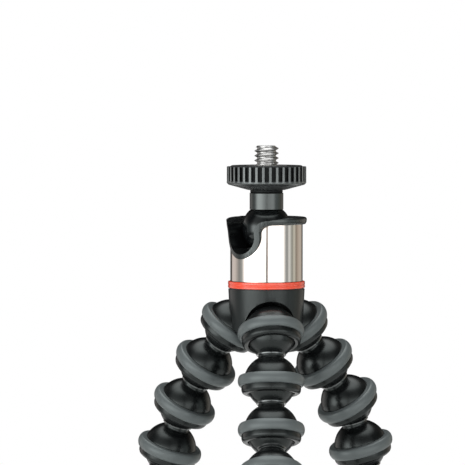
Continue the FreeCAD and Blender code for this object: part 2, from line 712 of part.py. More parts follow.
def make_segment(label, place, number):
    """One segment of a leg: the moulding and the grip ring round it."""
    drop = "hub_link_drop" if number == 0 else "leg_link_drop"
    ball = "hub_ball_radius" if number == 0 else "leg_ball_radius"
    neck = "hub_neck_radius" if number == 0 else "leg_neck_radius"
    flat = "hub_neck_radius" if number == 0 else "leg_ball_flat_radius"
    collar = "hub_neck_radius" if number == 0 else "collar_radius"
    moulding = turned_body(label + "_moulding", moulding_outline(drop, ball, flat, neck, collar))
    grip = turned_body(label + "_grip", grip_outline(drop))
    segment = doc.addObject("Part::Compound", label + "_pair")
    segment.Links = [moulding, grip]
    segment.Placement = Placement(place.Base + HUB_TOP, place.Rotation)
    keep(segment, label)


def make_foot(leg, place):
    """The last segment of a leg: a short core with a ball, pressed into a rubber foot."""
    drop = "leg_link_drop"
    top = link_top_outline(drop, "leg_ball_radius", "leg_ball_flat_radius", "leg_neck_radius",
                           "collar_radius")
    pad_top = "-leg_link_drop + grip_height / 2"
    core_foot = "-leg_link_drop - foot_core_drop"
    core = turned_body("leg_%s_foot_core_body" % leg, top + [
        ("foot_core_radius", pad_top, None),
        ("foot_core_radius", core_foot, None),
        ("0", core_foot, None)])
    ground = "-leg_link_drop - foot_pad_height"
    pad = turned_body("leg_%s_foot_pad_body" % leg, [
        ("0", ground, None),
        ("foot_flat_radius", ground, None),
        ("foot_flat_radius + foot_crown", "%s + foot_crown / 2" % ground, None),
        (GRIP_EDGE, "%s + foot_round" % ground, None),
        (GRIP, "%s - grip_height / 2" % pad_top, None),
        (GRIP, "%s - grip_height / 4" % pad_top, None),
        (GRIP_EDGE, pad_top, None),
        ("foot_core_radius + seat_fit", pad_top, None),
        ("foot_core_radius + seat_fit", "%s - seat_fit" % core_foot, None),
        ("0", "%s - seat_fit" % core_foot, None)])
    seat = Placement(place.Base + HUB_TOP, place.Rotation)
    keep(core, "leg_%s_foot_core" % leg).Placement = seat
    keep(pad, "leg_%s_foot_pad" % leg).Placement = seat


def make_legs():
    """Three chains of segments, each with its foot."""
    for leg, places in CHAINS.items():
        for number, place in enumerate(places[:-1]):
            make_segment("leg_%s_segment_%d" % (leg, number + 1), place, number)
        make_foot(leg, places[-1])


def write_parts():
    """Check every object, then write each sub-part to its file."""
    for item in doc.Objects:
        if "Invalid" in item.State or "Error" in item.State:
            raise RuntimeError("%s failed" % item.Name)
    for sub_part in SUB_PARTS:
        if sub_part.Shape.isNull() or not sub_part.Shape.isValid():
            raise RuntimeError("%s has no sound shape" % sub_part.Label)
    os.makedirs("parts", exist_ok=True)
    for sub_part in SUB_PARTS:
        sub_part.Shape.exportStep("parts/%s.step" % sub_part.Label)
        print(sub_part.Label, len(sub_part.Shape.Solids), round(sub_part.Shape.Volume, 1))


make_hub()
make_accent_ring()
make_cup()
make_sleeve()
make_friction_stack()
make_ball_and_stem()
make_dial()
make_legs()
doc.recompute()
write_parts()
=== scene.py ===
import json
import math

import bpy
from mathutils import Matrix, Vector

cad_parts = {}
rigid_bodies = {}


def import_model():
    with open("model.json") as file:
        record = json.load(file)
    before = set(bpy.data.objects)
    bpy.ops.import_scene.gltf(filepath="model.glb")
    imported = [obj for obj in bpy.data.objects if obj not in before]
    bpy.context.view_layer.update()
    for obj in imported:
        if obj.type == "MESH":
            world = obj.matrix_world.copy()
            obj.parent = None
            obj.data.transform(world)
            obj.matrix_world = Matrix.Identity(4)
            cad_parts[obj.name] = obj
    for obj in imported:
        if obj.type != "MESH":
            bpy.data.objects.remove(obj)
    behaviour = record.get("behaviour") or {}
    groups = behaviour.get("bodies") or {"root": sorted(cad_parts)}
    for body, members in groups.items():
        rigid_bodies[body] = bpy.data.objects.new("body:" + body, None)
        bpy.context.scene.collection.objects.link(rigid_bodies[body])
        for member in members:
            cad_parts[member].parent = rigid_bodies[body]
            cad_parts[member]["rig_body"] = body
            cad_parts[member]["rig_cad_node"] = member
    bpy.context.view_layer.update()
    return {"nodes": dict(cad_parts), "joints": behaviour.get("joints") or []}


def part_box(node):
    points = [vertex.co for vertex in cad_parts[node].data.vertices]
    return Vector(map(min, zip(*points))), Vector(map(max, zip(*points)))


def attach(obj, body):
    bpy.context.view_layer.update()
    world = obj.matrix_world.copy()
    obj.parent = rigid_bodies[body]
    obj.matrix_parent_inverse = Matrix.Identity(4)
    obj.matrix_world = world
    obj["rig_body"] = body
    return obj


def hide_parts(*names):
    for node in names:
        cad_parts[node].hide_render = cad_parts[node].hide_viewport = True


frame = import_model()

# The studio. The tripod stands on a plain pale disc in a white room, with two tall soft panels in
# front of it and a dark gap between them, dimmer walls beside and behind it, and a soft panel
# overhead. It is seen from the front, a little from above, through a long lens.
MM = 0.001
head_joint = Vector(frame["joints"][0]["pos_m"])
HUB_TOP = Vector((head_joint.x, head_joint.y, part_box("accent_ring")[0].z))

FLOOR_RADIUS, FLOOR_SINK, FLOOR_ROUGHNESS = 320, 0.02, 0.8
FLOOR_COLOUR = (0.86, 0.86, 0.85, 1)
bpy.ops.object.select_all(action="DESELECT")
bpy.ops.mesh.primitive_circle_add(vertices=96, radius=FLOOR_RADIUS * MM, fill_type="NGON",
                                  location=(0, 0, -FLOOR_SINK * MM))
floor = bpy.context.object
floor.name = "studio_floor"
floor_paint = bpy.data.materials.new("pale_floor_paint")
floor_paint.use_nodes = True
paint = floor_paint.node_tree.nodes["Principled BSDF"]
paint.inputs["Base Color"].default_value = FLOOR_COLOUR
paint.inputs["Roughness"].default_value = FLOOR_ROUGHNESS
floor.data.materials.append(floor_paint)

# Light on the walls by heading, in degrees to the right of the camera: brightness and tint
WALLS = (
    (-180, 0.03, (1, 1, 1)), (-152, 0.05, (1, 0.99, 0.97)), (-146, 0.2, (1, 0.94, 0.9)),
    (-140, 0.75, (1, 0.95, 0.93)), (-120, 0.72, (1, 0.95, 0.92)), (-98, 0.3, (0.95, 1, 1)),
    (-85, 0.46, (0.92, 1, 1)), (-78, 1.2, (1, 1, 1)), (-66, 3.8, (1, 1, 1)), (-38, 3.6, (1, 1, 1)),
    (-18, 2.2, (1, 1, 1)), (-1.9, 1.9, (1, 1, 1)), (-1.5, 0.08, (1, 0.97, 0.95)),
    (2.9, 0.08, (1, 0.97, 0.95)), (3.3, 1.9, (1, 1, 1)), (28, 1.9, (1, 1, 1)), (45, 2.4, (1, 1, 1)),
    (56, 1.6, (1, 1, 1)), (62, 0.6, (0.9, 0.98, 1)), (69, 0.32, (0.9, 0.98, 1)),
    (77, 0.95, (0.94, 1, 1)), (89, 0.32, (0.94, 1, 0.9)), (99, 0.72, (0.98, 1, 0.9)),
    (109, 0.3, (1, 0.9, 0.76)), (120, 0.52, (1, 0.9, 0.78)), (136, 0.6, (1, 0.93, 0.83)),
    (148, 0.42, (1, 0.93, 0.83)), (154, 0.06, (1, 0.99, 0.97)), (180, 0.03, (1, 1, 1)))
# How the same walls fade by height: the sine of the elevation, and the share of the light there
FADE = ((-1.0, 0.03), (-0.4, 0.06), (-0.28, 0.4), (-0.2, 1.0), (0.14, 1.0), (0.28, 0.35),
        (0.42, 0.14), (0.75, 0.12), (1.0, 0.12))
WALL_PEAK = 4.0
# The panel overhead: its light, and the sines of the elevations where it starts and is full
OVERHEAD, OVERHEAD_FROM, OVERHEAD_TO = 2.6, 0.74, 0.9

world = bpy.data.worlds.new("studio")
bpy.context.scene.world = world
world.use_nodes = True
nodes, links = world.node_tree.nodes, world.node_tree.links
nodes.clear()


def painted_ramp(stops):
    """A colour ramp from its stops, each a place from 0 to 1 and a colour."""
    ramp = nodes.new("ShaderNodeValToRGB")
    while len(ramp.color_ramp.elements) < len(stops):
        ramp.color_ramp.elements.new(0.5)
    for stop, (spot, colour) in zip(ramp.color_ramp.elements, stops):
        stop.position = spot
        stop.color = (*colour, 1)
    return ramp


def joined_light(how, one, other):
    """Two lights multiplied or added."""
    mix = nodes.new("ShaderNodeMix")
    mix.data_type = "RGBA"
    mix.blend_type = how
    mix.inputs["Factor"].default_value = 1
    links.new(one, mix.inputs["A"])
    links.new(other, mix.inputs["B"])
    return mix.outputs["Result"]


place = nodes.new("ShaderNodeTexCoord")
parts = nodes.new("ShaderNodeSeparateXYZ")
links.new(place.outputs["Generated"], parts.inputs[0])
toward = nodes.new("ShaderNodeMath")
toward.operation = "MULTIPLY"
toward.inputs[1].default_value = -1
links.new(parts.outputs["Y"], toward.inputs[0])
heading = nodes.new("ShaderNodeMath")
heading.operation = "ARCTAN2"
links.new(parts.outputs["X"], heading.inputs[0])
links.new(toward.outputs[0], heading.inputs[1])
around = nodes.new("ShaderNodeMapRange")
around.inputs["From Min"].default_value = -math.pi
around.inputs["From Max"].default_value = math.pi
links.new(heading.outputs[0], around.inputs["Value"])
walls = painted_ramp([((degrees + 180) / 360, [light * part / WALL_PEAK for part in tint])
                      for degrees, light, tint in WALLS])
links.new(around.outputs["Result"], walls.inputs["Fac"])
upward = nodes.new("ShaderNodeMapRange")
upward.inputs["From Min"].default_value = -1
links.new(parts.outputs["Z"], upward.inputs["Value"])
fade = painted_ramp([((height + 1) / 2, (share, share, share)) for height, share in FADE])
links.new(upward.outputs["Result"], fade.inputs["Fac"])
overhead = nodes.new("ShaderNodeMapRange")
overhead.inputs["From Min"].default_value = OVERHEAD_FROM
overhead.inputs["From Max"].default_value = OVERHEAD_TO
overhead.inputs["To Max"].default_value = OVERHEAD / WALL_PEAK
links.new(parts.outputs["Z"], overhead.inputs["Value"])
room = joined_light("MULTIPLY", walls.outputs["Color"], fade.outputs["Color"])
lit = nodes.new("ShaderNodeBackground")
lit.inputs["Strength"].default_value = WALL_PEAK
links.new(joined_light("ADD", room, overhead.outputs["Result"]), lit.inputs["Color"])
plain = nodes.new("ShaderNodeBackground")
plain.inputs["Color"].default_value = (1, 1, 1, 1)
ray = nodes.new("ShaderNodeLightPath")
either = nodes.new("ShaderNodeMixShader")
links.new(ray.outputs["Is Camera Ray"], either.inputs["Fac"])
links.new(lit.outputs[0], either.inputs[1])
links.new(plain.outputs[0], either.inputs[2])
sky = nodes.new("ShaderNodeOutputWorld")
links.new(either.outputs[0], sky.inputs["Surface"])
bpy.context.scene.view_settings.view_transform = "Standard"

# The photograph's framing: pixels to a millimetre at the head, the image's side, the pixels where
# the head's axis and the middle of its ball lie, that ball's height over the hub's top, and from
# how far off and how many degrees above it was taken
PIXELS_PER_MM, IMAGE_SIDE = 3.79, 465
AXIS_PIXEL, BALL_PIXEL = 266.5, 228
BALL_HEIGHT = 15.75
CAMERA_DISTANCE, CAMERA_ELEVATION, SENSOR_WIDTH = 1000, 2.5, 36
middle = IMAGE_SIDE / 2
aim = HUB_TOP + MM * Vector((-(AXIS_PIXEL - middle) / PIXELS_PER_MM, 0,
                             BALL_HEIGHT - (middle - BALL_PIXEL) / PIXELS_PER_MM))
tip = math.radians(CAMERA_ELEVATION)
view = bpy.data.cameras.new("front_view")
view.sensor_width = SENSOR_WIDTH
view.lens = SENSOR_WIDTH * CAMERA_DISTANCE * PIXELS_PER_MM / IMAGE_SIDE
view.clip_start, view.clip_end = 0.01, 50
camera = bpy.data.objects.new("front_view", view)
camera.location = aim + CAMERA_DISTANCE * MM * Vector((0, -math.cos(tip), math.sin(tip)))
camera.rotation_euler = (math.pi / 2 - tip, 0, 0)
bpy.context.scene.collection.objects.link(camera)
bpy.context.scene.camera = camera

# The base housing. One moulding of charcoal nylon that tapers downwards, with three hollows in
# which the first legs' domes swing and a small socket in the depth of each. A fine shadow gap
# parts it from the ring above, its faces carry the mould's grain, and its edges are rounded.
HOUSING_COLOUR = (0.013, 0.0145, 0.0145)
HOUSING_EDGE = 0.12
RING_RADIUS, GAP_RADIUS, GAP_HEIGHT = 10.15, 9.78, 0.3
# How far a cutting shape reaches past what it cuts, and how near points have to lie to be merged
SPARE, WELD, FINE_WELD = 1.5, 0.002, 0.0005
# The angles up to which faces count as flat, and up to which an edge is shaded smooth
FLAT_ENOUGH, SMOOTH = 0.5, 35
STEPS, FINE_STEPS = 96, 128
# The moulding grain: its tint, its clouds, how far they spread the gloss, its coat and its bump
SHEEN_TINT = (0.9, 1, 0.98, 1)
CLOUD_SCALE, CLOUD_DETAIL, SPECK_DETAIL = 140, 5, 2
CLOUD_LOW, CLOUD_HIGH, GLOSS_SPREAD = 0.3, 0.7, 0.12
COAT_ROUGHNESS, GRAIN_STRENGTH = 0.12, 0.35


def pick(piece):
    """Select one piece only and make it the active one."""
    bpy.ops.object.select_all(action="DESELECT")
    piece.select_set(True)
    bpy.context.view_layer.objects.active = piece


def finish_mesh(piece, edge=0, sharp=30, rounds=3):
    """Round a piece's corners with a small bevel and shade it smooth."""
    pick(piece)
    if edge:
        bevel = piece.modifiers.new("round_corners", "BEVEL")
        bevel.width = edge * MM
        bevel.segments = rounds
        bevel.limit_method = "ANGLE"
        bevel.angle_limit = math.radians(sharp)
        bevel.use_clamp_overlap = True
        bpy.ops.object.modifier_apply(modifier=bevel.name)
    bpy.ops.object.shade_smooth_by_angle(angle=math.radians(SMOOTH))
    even = piece.modifiers.new("even_shading", "WEIGHTED_NORMAL")
    even.keep_sharp = True
    bpy.ops.object.modifier_apply(modifier=even.name)
    return piece


def turn_faces_out():
    """Point the edited piece's faces outwards, and leave edit mode."""
    bpy.ops.mesh.select_all(action="SELECT")
    bpy.ops.mesh.normals_make_consistent(inside=False)
    bpy.ops.object.mode_set(mode="OBJECT")


def copy_of(pattern, name, spot=Matrix()):
    """A copy of a pattern with a mesh of its own, moved to its spot."""
    piece = pattern.copy()
    piece.data = pattern.data.copy()
    piece.name = piece.data.name = name
    bpy.context.scene.collection.objects.link(piece)
    piece.data.transform(spot)
    return piece


def copy_solid(node, name):
    """A merged copy of a solid, as a start for its finished piece."""
    piece = copy_of(frame["nodes"][node], name)
    piece.parent = None
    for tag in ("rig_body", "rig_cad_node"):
        if tag in piece:
            del piece[tag]
    pick(piece)
    bpy.ops.object.mode_set(mode="EDIT")
    bpy.ops.mesh.select_all(action="SELECT")
    bpy.ops.mesh.remove_doubles(threshold=WELD * MM)
    bpy.ops.mesh.dissolve_limited(angle_limit=math.radians(FLAT_ENOUGH))
    bpy.ops.object.mode_set(mode="OBJECT")
    return piece


def moulded(name, colour, roughness, grain, depth, wear, specular=0.5, coat=0.0):
    """Moulded plastic or rubber: fine grain, faint cloudiness, and rubbed high spots."""
    finish = bpy.data.materials.new(name)
    finish.use_nodes = True
    nodes, links = finish.node_tree.nodes, finish.node_tree.links
    shader = nodes["Principled BSDF"]
    shader.inputs["Specular IOR Level"].default_value = specular
    shader.inputs["Specular Tint"].default_value = SHEEN_TINT
    shader.inputs["Coat Weight"].default_value = coat
    shader.inputs["Coat Roughness"].default_value = COAT_ROUGHNESS
    place = nodes.new("ShaderNodeTexCoord")
    clouds = nodes.new("ShaderNodeTexNoise")
    clouds.inputs["Scale"].default_value = CLOUD_SCALE
    clouds.inputs["Detail"].default_value = CLOUD_DETAIL
    specks = nodes.new("ShaderNodeTexNoise")
    specks.inputs["Scale"].default_value = 1 / (grain * MM)
    specks.inputs["Detail"].default_value = SPECK_DETAIL
    links.new(place.outputs["Object"], clouds.inputs["Vector"])
    links.new(place.outputs["Object"], specks.inputs["Vector"])
    shade = nodes.new("ShaderNodeMix")
    shade.data_type = "RGBA"
    shade.inputs["A"].default_value = [part * (1 - wear) for part in colour] + [1]
    shade.inputs["B"].default_value = [part * (1 + wear) for part in colour] + [1]
    links.new(clouds.outputs["Fac"], shade.inputs["Factor"])
    links.new(shade.outputs["Result"], shader.inputs["Base Color"])
    gloss = nodes.new("ShaderNodeMapRange")
    gloss.inputs["From Min"].default_value = CLOUD_LOW
    gloss.inputs["From Max"].default_value = CLOUD_HIGH
    gloss.inputs["To Min"].default_value = roughness * (1 - GLOSS_SPREAD)
    gloss.inputs["To Max"].default_value = roughness * (1 + GLOSS_SPREAD)
    links.new(clouds.outputs["Fac"], gloss.inputs["Value"])
    links.new(gloss.outputs["Result"], shader.inputs["Roughness"])
    bump = nodes.new("ShaderNodeBump")
    bump.inputs["Strength"].default_value = GRAIN_STRENGTH
    bump.inputs["Distance"].default_value = depth * MM
    links.new(specks.outputs["Fac"], bump.inputs["Height"])
    links.new(bump.outputs["Normal"], shader.inputs["Normal"])
    return finish


def dress(piece, finish, body, stands_for):
    """Give a finished piece its material, its body and the solid that it stands for."""
    piece.data.materials.clear()
    piece.data.materials.append(finish)
    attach(piece, body)
    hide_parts(stands_for)


def drawn(name, outline):
    """A line of (across, height) drawn corner by corner, still in edit mode and all selected."""
    bpy.ops.object.select_all(action="DESELECT")
    bpy.ops.mesh.primitive_plane_add(size=MM, location=(0, 0, 0))
    piece = bpy.context.object
    piece.name = piece.data.name = name
    corners = [Vector((across * MM, 0, height * MM)) for across, height in outline]
    bpy.ops.object.mode_set(mode="EDIT")
    bpy.ops.mesh.merge(type="CENTER")
    bpy.ops.transform.translate(value=corners[0])
    for here, there in zip(corners, corners[1:]):
        bpy.ops.mesh.extrude_vertices_move(TRANSFORM_OT_translate={"value": there - here})
    bpy.ops.mesh.select_all(action="SELECT")
    return piece


def spun(name, outline, steps=STEPS):
    """A turned piece: its half outline is spun round the upright axis."""
    piece = drawn(name, outline)
    bpy.ops.mesh.spin(steps=steps, angle=math.tau, center=(0, 0, 0), axis=(0, 0, 1))
    bpy.ops.mesh.select_all(action="SELECT")
    bpy.ops.mesh.remove_doubles(threshold=FINE_WELD * MM)
    turn_faces_out()
    return piece


def ring_of(inner, outer, foot, top):
    """The closed half outline of a plain ring."""
    return [(inner, foot), (outer, foot), (outer, top), (inner, top), (inner, foot)]


def combine(piece, other, how="DIFFERENCE"):
    """Cut one shape out of a piece, or join or keep what they share, and throw the tool away."""
    pick(piece)
    step = piece.modifiers.new("combine", "BOOLEAN")
    step.operation = how
    step.solver = "EXACT"
    step.object = other
    bpy.ops.object.modifier_apply(modifier=step.name)
    bpy.data.objects.remove(other)
    bpy.ops.object.mode_set(mode="EDIT")
    bpy.ops.mesh.select_all(action="SELECT")
    bpy.ops.mesh.remove_doubles(threshold=WELD * MM)
    bpy.ops.object.mode_set(mode="OBJECT")


ON_HUB = Matrix.Translation(HUB_TOP)
housing = copy_solid("base_housing", "housing_moulding")
shadow_gap = spun("shadow_gap", ring_of(GAP_RADIUS, RING_RADIUS + SPARE, -GAP_HEIGHT, SPARE),
                  FINE_STEPS)
shadow_gap.data.transform(ON_HUB)
combine(housing, shadow_gap)
finish_mesh(housing, HOUSING_EDGE)
housing_plastic = moulded("charcoal_nylon", HOUSING_COLOUR, roughness=0.3, grain=0.16, depth=0.01,
                          wear=0.12, specular=0.4)
dress(housing, housing_plastic, "base", "base_housing")

# The accent ring. A slim ring of glossy red-orange plastic that lies on the housing's shoulder
# under the steel sleeve, with softly rounded edges and a fine groove round its middle.
RING_HEIGHT, RING_BORE, RING_EDGE, RING_PLAY = 1.8, 5.92, 0.2, 0.02
RING_LINE_FOOT, RING_LINE_TOP, RING_LINE_DEPTH, RING_LINE_SLOPE = 0.62, 0.96, 0.07, 0.1
RING_COLOUR = (0.87, 0.085, 0.04)

line_radius = RING_RADIUS - RING_LINE_DEPTH
accent = spun("accent_band", [
    (RING_BORE, RING_PLAY), (RING_RADIUS, RING_PLAY), (RING_RADIUS, RING_LINE_FOOT),
    (line_radius, RING_LINE_FOOT + RING_LINE_SLOPE), (line_radius, RING_LINE_TOP - RING_LINE_SLOPE),
    (RING_RADIUS, RING_LINE_TOP), (RING_RADIUS, RING_HEIGHT - RING_PLAY),
    (RING_BORE, RING_HEIGHT - RING_PLAY), (RING_BORE, RING_PLAY)], FINE_STEPS)
finish_mesh(accent, RING_EDGE, sharp=60)
accent.data.transform(ON_HUB)
red_plastic = moulded("red_orange_plastic", RING_COLOUR, roughness=0.25, grain=0.1, depth=0.002,
                      wear=0.05, coat=0.6)
dress(accent, red_plastic, "base", "accent_ring")

# The ball cup. A satin black moulding that turns on the housing's post: a barrel inside the
# sleeve, a flange over it, and an upright notch for the stem, whose raised band runs up the
# sleeve from below and out into the flange in one smooth curve.
CUP_COLOUR, INSIDE_SHADE_COLOUR = (0.01, 0.011, 0.0115), (0.003, 0.003, 0.0035)
CUP_FOOT, CUP_TOP, CUP_FLOOR = 1.9, 18.7, 5.1
BARREL_RADIUS, POST_BORE, PAD_BORE = 8.7, 3.55, 5.15
FLANGE_FOOT, BAND_FOOT = 16.8, 7.85
BAND_FOOT_RADIUS, FLANGE_FOOT_RADIUS, FLANGE_TOP_RADIUS = 9.55, 10.5, 10.66
BALL_ROOM = 6.55
NOTCH_HEADING, NOTCH_HALF, NOTCH_BAND, NOTCH_FLARE, RIM_SLOPE = 223, 4.75, 1.2, 2.2, 2.6
CUP_EDGE, FLANGE_ROUND = 0.42, 0.6
# A face of the cup is painted darker as shade where it turns less than this outwards and upwards
SHADE_OUTWARD, SHADE_UPWARD = 0.3, 0.7


def arc(middle, radius, start, end, steps):
    """Points of a round part of a half outline, from one angle to another in degrees."""
    angles = [math.radians(start + (end - start) * step / steps) for step in range(steps + 1)]
    return [(middle[0] + radius * math.cos(angle), middle[1] + radius * math.sin(angle))
            for angle in angles]


def prism(name, outline, depth):
    """A flat outline of (across, height) filled and pushed out along the y axis from the middle."""
    piece = drawn(name, outline + outline[:1])
    bpy.ops.mesh.remove_doubles(threshold=FINE_WELD * MM)
    bpy.ops.mesh.edge_face_add()
    bpy.ops.mesh.extrude_region_move(TRANSFORM_OT_translate={"value": (0, depth * MM, 0)})
    turn_faces_out()
    return piece


def notch_tool(edge, top, flare, slope=0, rise=0):
    """The notch's U, grown by an edge, with corners that flare out and slope up to the rim."""
    half = NOTCH_HALF + edge
    middle = BAND_FOOT + NOTCH_BAND + NOTCH_HALF
    right = arc((0, middle), half, -90, 0, 14) + arc((half + flare, top - flare), flare, 180, 90, 8)
    right += [(half + flare + slope, top + rise), (half + flare + slope, top + rise + SPARE)]
    tool = prism("notch_tool", right + [(-across, height) for across, height in right[:0:-1]],
                 FLANGE_TOP_RADIUS + SPARE)
    tool.data.transform(Matrix.Rotation(math.radians(NOTCH_HEADING - 90), 4, "Z"))
    return tool


cup = spun("ball_cup", [
    (POST_BORE, CUP_FOOT), (BARREL_RADIUS, CUP_FOOT), (BARREL_RADIUS, BAND_FOOT),
    (BAND_FOOT_RADIUS, BAND_FOOT)]
    + arc((FLANGE_TOP_RADIUS - FLANGE_ROUND, CUP_TOP - FLANGE_ROUND), FLANGE_ROUND, 0, 90, 5)
    + arc((0, BALL_HEIGHT), BALL_ROOM, math.degrees(math.asin((CUP_TOP - BALL_HEIGHT) / BALL_ROOM)),
          -math.degrees(math.acos(PAD_BORE / BALL_ROOM)), 16)
    + [(PAD_BORE, CUP_FLOOR), (POST_BORE, CUP_FLOOR), (POST_BORE, CUP_FOOT)], FINE_STEPS)
sleeve_room = spun("sleeve_room", [
    (BARREL_RADIUS, CUP_FOOT - SPARE), (FLANGE_TOP_RADIUS + SPARE, CUP_FOOT - SPARE),
    (FLANGE_TOP_RADIUS + SPARE, FLANGE_FOOT + FLANGE_ROUND)]
    + arc((FLANGE_FOOT_RADIUS - FLANGE_ROUND, FLANGE_FOOT + FLANGE_ROUND), FLANGE_ROUND, 0, -90, 5)
    + [(BARREL_RADIUS, FLANGE_FOOT), (BARREL_RADIUS, CUP_FOOT - SPARE)], FINE_STEPS)
combine(sleeve_room, notch_tool(NOTCH_BAND, FLANGE_FOOT, NOTCH_FLARE))
combine(cup, sleeve_room)
lip = FLANGE_FOOT + NOTCH_BAND
combine(cup, notch_tool(0, lip, NOTCH_FLARE + NOTCH_BAND, RIM_SLOPE, CUP_TOP - lip))
finish_mesh(cup, CUP_EDGE, sharp=40)
cup.data.transform(ON_HUB)
cup_plastic = moulded("satin_black_plastic", CUP_COLOUR, roughness=0.26, grain=0.14, depth=0.006,
                      wear=0.1, specular=1.0)
dress(cup, cup_plastic, "head_cup", "socket_cup")
# Painted shade: the cup's inner faces and the notch's side walls get a darker finish than its
# outside
cup.data.materials.append(moulded("cup_inside_painted_shade", INSIDE_SHADE_COLOUR, roughness=0.3, grain=0.3,
                                  depth=0.001, wear=0.05))
for face in cup.data.polygons:
    out = Vector((face.center.x - HUB_TOP.x, face.center.y - HUB_TOP.y, 0)).normalized()
    face.material_index = int(face.normal.dot(out) < SHADE_OUTWARD
                              and face.normal.z < SHADE_UPWARD)

# The steel sleeve. Thin polished stainless tube pressed over the cup's barrel, cut out round the
# notch, with faint upright drawing marks and a fine turned edge at its foot.
SLEEVE_OUTER, SLEEVE_INNER, SLEEVE_FOOT, SLEEVE_TOP = 9.55, 8.75, 1.9, 16.78
SLEEVE_EDGE, SLEEVE_GAP, SLEEVE_STEPS = 0.08, 0.05, 192
STEEL_COLOUR = (0.74, 0.67, 0.615)
MARK_DETAIL, MARK_SPREAD, MARK_STRENGTH = 4, 0.25, 0.2

sleeve = spun("steel_sleeve", ring_of(SLEEVE_INNER, SLEEVE_OUTER, SLEEVE_FOOT, SLEEVE_TOP),
              SLEEVE_STEPS)
combine(sleeve, notch_tool(NOTCH_BAND + SLEEVE_GAP, FLANGE_FOOT, NOTCH_FLARE))
finish_mesh(sleeve, SLEEVE_EDGE, sharp=50, rounds=2)
sleeve.data.transform(ON_HUB)


def metal(name, colour, roughness, marks, stretch, depth, streaks):
    """Bare metal with fine drawing or turning marks, closer set across than along them."""
    finish = bpy.data.materials.new(name)
    finish.use_nodes = True
    nodes, links = finish.node_tree.nodes, finish.node_tree.links
    shader = nodes["Principled BSDF"]
    shader.inputs["Metallic"].default_value = 1
    place = nodes.new("ShaderNodeTexCoord")
    squeeze = nodes.new("ShaderNodeMapping")
    squeeze.inputs["Scale"].default_value = stretch
    lines = nodes.new("ShaderNodeTexNoise")
    lines.inputs["Scale"].default_value = marks
    lines.inputs["Detail"].default_value = MARK_DETAIL
    links.new(place.outputs["Object"], squeeze.inputs["Vector"])
    links.new(squeeze.outputs["Vector"], lines.inputs["Vector"])
    tone = nodes.new("ShaderNodeMix")
    tone.data_type = "RGBA"
    tone.inputs["A"].default_value = [part * (1 - streaks) for part in colour] + [1]
    tone.inputs["B"].default_value = [min(1, part * (1 + streaks)) for part in colour] + [1]
    links.new(lines.outputs["Fac"], tone.inputs["Factor"])
    links.new(tone.outputs["Result"], shader.inputs["Base Color"])
    gloss = nodes.new("ShaderNodeMapRange")
    gloss.inputs["To Min"].default_value = roughness * (1 - MARK_SPREAD)
    gloss.inputs["To Max"].default_value = roughness * (1 + MARK_SPREAD)
    links.new(lines.outputs["Fac"], gloss.inputs["Value"])
    links.new(gloss.outputs["Result"], shader.inputs["Roughness"])
    bump = nodes.new("ShaderNodeBump")
    bump.inputs["Strength"].default_value = MARK_STRENGTH
    bump.inputs["Distance"].default_value = depth * MM
    links.new(lines.outputs["Fac"], bump.inputs["Height"])
    links.new(bump.outputs["Normal"], shader.inputs["Normal"])
    return finish


sleeve_steel = metal("polished_steel", STEEL_COLOUR, roughness=0.1, marks=2600,
                     stretch=(1, 1, 0.012), depth=0.0006, streaks=0.02)
dress(sleeve, sleeve_steel, "head_cup", "lock_sleeve")

# The friction stack. A plated bolt and thrust washer hold the cup on its post, and a disc spring
# presses a black acetal pad up against the ball, so the head stays where it is put.
PLATED_COLOUR, ACETAL_COLOUR = (0.6, 0.6, 0.59), (0.01, 0.01, 0.011)


def finish_solid(node, finish):
    """Give its finish to a solid that is shown as it is."""
    solid = frame["nodes"][node]
    solid.data.materials.clear()
    solid.data.materials.append(finish)


plated_steel = metal("zinc_plated_steel", PLATED_COLOUR, roughness=0.3, marks=3000,
                     stretch=(1, 1, 4), depth=0.002, streaks=0.08)
for solid in ("pan_bolt", "bearing_washer", "disc_spring"):
    finish_solid(solid, plated_steel)
finish_solid("ball_pad", moulded("black_acetal", ACETAL_COLOUR, roughness=0.45, grain=0.2,
                                 depth=0.004, wear=0.04))

# The ball and its stem. The ball is polished black plastic over a bored core; the stem is a dark
# anodised aluminium post turned in one go, with a soft sheen, pressed into the ball by its spigot.
BALL_RADIUS, BALL_EDGE = 6.5, 0.1
STEM_RADIUS, STEM_TOP, STEM_CHAMFER, STEM_EDGE, STEM_SEAT_GAP = 4.45, 25.2, 0.25, 0.05, 0.01
SPIGOT_RADIUS, SPIGOT_FOOT, SPIGOT_PLAY, SPIGOT_GAP = 2.87, 15.14, 0.02, 0.05
SPINDLE_ROOM, SPINDLE_HEAD_ROOM, SPINDLE_SEAT = 1.3, 2.05, 16.89
BALL_COLOUR = (0.003, 0.0034, 0.004)
STEM_COLOUR = (0.095, 0.104, 0.102)
stem_foot = BALL_HEIGHT + math.sqrt(BALL_RADIUS ** 2 - STEM_RADIUS ** 2)
seat_angle = math.degrees(math.acos(STEM_RADIUS / BALL_RADIUS))

ball = spun("head_ball_polished", [
    (0, SPIGOT_FOOT), (SPIGOT_RADIUS, SPIGOT_FOOT), (SPIGOT_RADIUS, stem_foot)]
    + arc((0, BALL_HEIGHT), BALL_RADIUS, seat_angle, -90, 36))
finish_mesh(ball, BALL_EDGE, sharp=50)
ball.data.transform(ON_HUB)
ball_plastic = moulded("polished_black_plastic", BALL_COLOUR, roughness=0.15, grain=0.3,
                       depth=0.001, wear=0.05, specular=0.65)
dress(ball, ball_plastic, "ball_and_stem", "head_ball")

